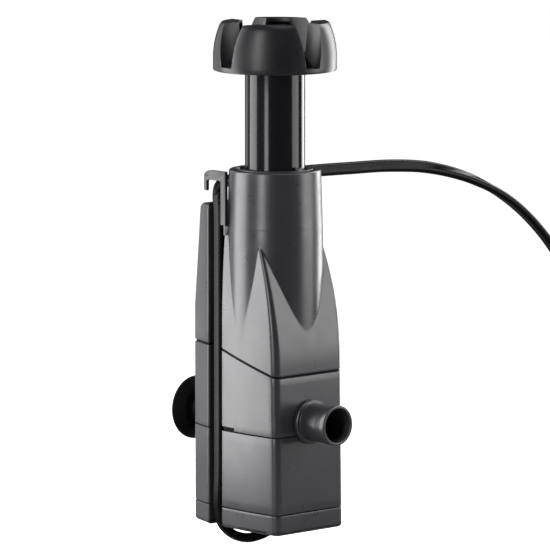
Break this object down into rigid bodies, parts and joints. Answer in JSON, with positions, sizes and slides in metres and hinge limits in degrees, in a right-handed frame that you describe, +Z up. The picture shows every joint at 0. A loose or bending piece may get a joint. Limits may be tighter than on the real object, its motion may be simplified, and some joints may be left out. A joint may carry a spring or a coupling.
{
  "type": "internal surface skimmer filter",
  "caption": "Small internal aquarium filter with a floating intake crown on a telescopic tube, foam cartridge, impeller pump, side outlet, suction cup and mains lead.",
  "frame": {"origin": "centre of the suction cup's rim, in the plane where it meets the glass", "axes": "+Z up along the tower, +Y out of the suction cup into the glass, the outlet nozzle points to -Y, the cable channel is on -X"},
  "size_m": [0.2469, 0.109, 0.2109],
  "materials": {
    "housing_plastic": "satin anthracite, moulded",
    "crown_plastic": "satin, near black",
    "inner_plastic": "moulded",
    "tube_plastic": "glossy black",
    "rubber": "matt black",
    "cord_sheath": "soft black vinyl",
    "filter_foam": "open-cell foam",
    "float_foam": "closed-cell foam",
    "impeller_plastic": "moulded",
    "magnet": "sintered ferrite",
    "steel": "ground",
    "nickel": "nickel plated",
    "ceramic": "polished",
    "resin": "potting resin"
  },
  "bodies": {
    "housing": {"upper_housing": "housing_plastic", "cable_hook": "housing_plastic", "tube_guide_ring": "inner_plastic", "seam_gasket": "rubber", "mid_housing": "housing_plastic", "lower_housing": "housing_plastic", "lower_seal": "rubber", "base_cap": "housing_plastic", "motor_block": "resin", "volute_ring": "inner_plastic", "lower_bearing": "ceramic", "upper_bearing": "ceramic", "pump_cover": "inner_plastic", "foam_core": "inner_plastic", "filter_foam": "filter_foam", "nozzle_seal": "rubber", "seal_retainer": "inner_plastic", "suction_stud": "inner_plastic", "suction_cup": "rubber", "cable_gland": "rubber", "cord_lead": "cord_sheath", "cord_coil": "cord_sheath", "cord_tail": "cord_sheath", "cord_tie": "rubber", "plug_body": "cord_sheath", "plug_pin_left": "nickel", "plug_pin_right": "nickel"},
    "float": {"intake_tube": "tube_plastic", "float_crown": "crown_plastic", "tube_lock_ring": "inner_plastic", "float_insert_1": "float_foam", "float_insert_2": "float_foam", "float_insert_3": "float_foam", "float_insert_4": "float_foam"},
    "rotor": {"impeller": "impeller_plastic", "rotor_magnet": "magnet", "rotor_shaft": "steel"},
    "nozzle": {"outlet_nozzle": "housing_plastic"}
  },
  "joints": [
    {"name": "float_slide", "type": "slide", "parent": "housing", "child": "float", "axis": [0, 0, 1], "range_m": [-0.0376, 0]},
    {"name": "rotor_spin", "type": "hinge", "parent": "housing", "child": "rotor", "pos_m": [0, -0.0476, 0], "axis": [0, 0, 1], "continuous": true},
    {"name": "nozzle_turn", "type": "hinge", "parent": "housing", "child": "nozzle", "pos_m": [0, -0.07, 0.0018], "axis": [0, -1, 0], "range_deg": [0, 90]}
  ]
}
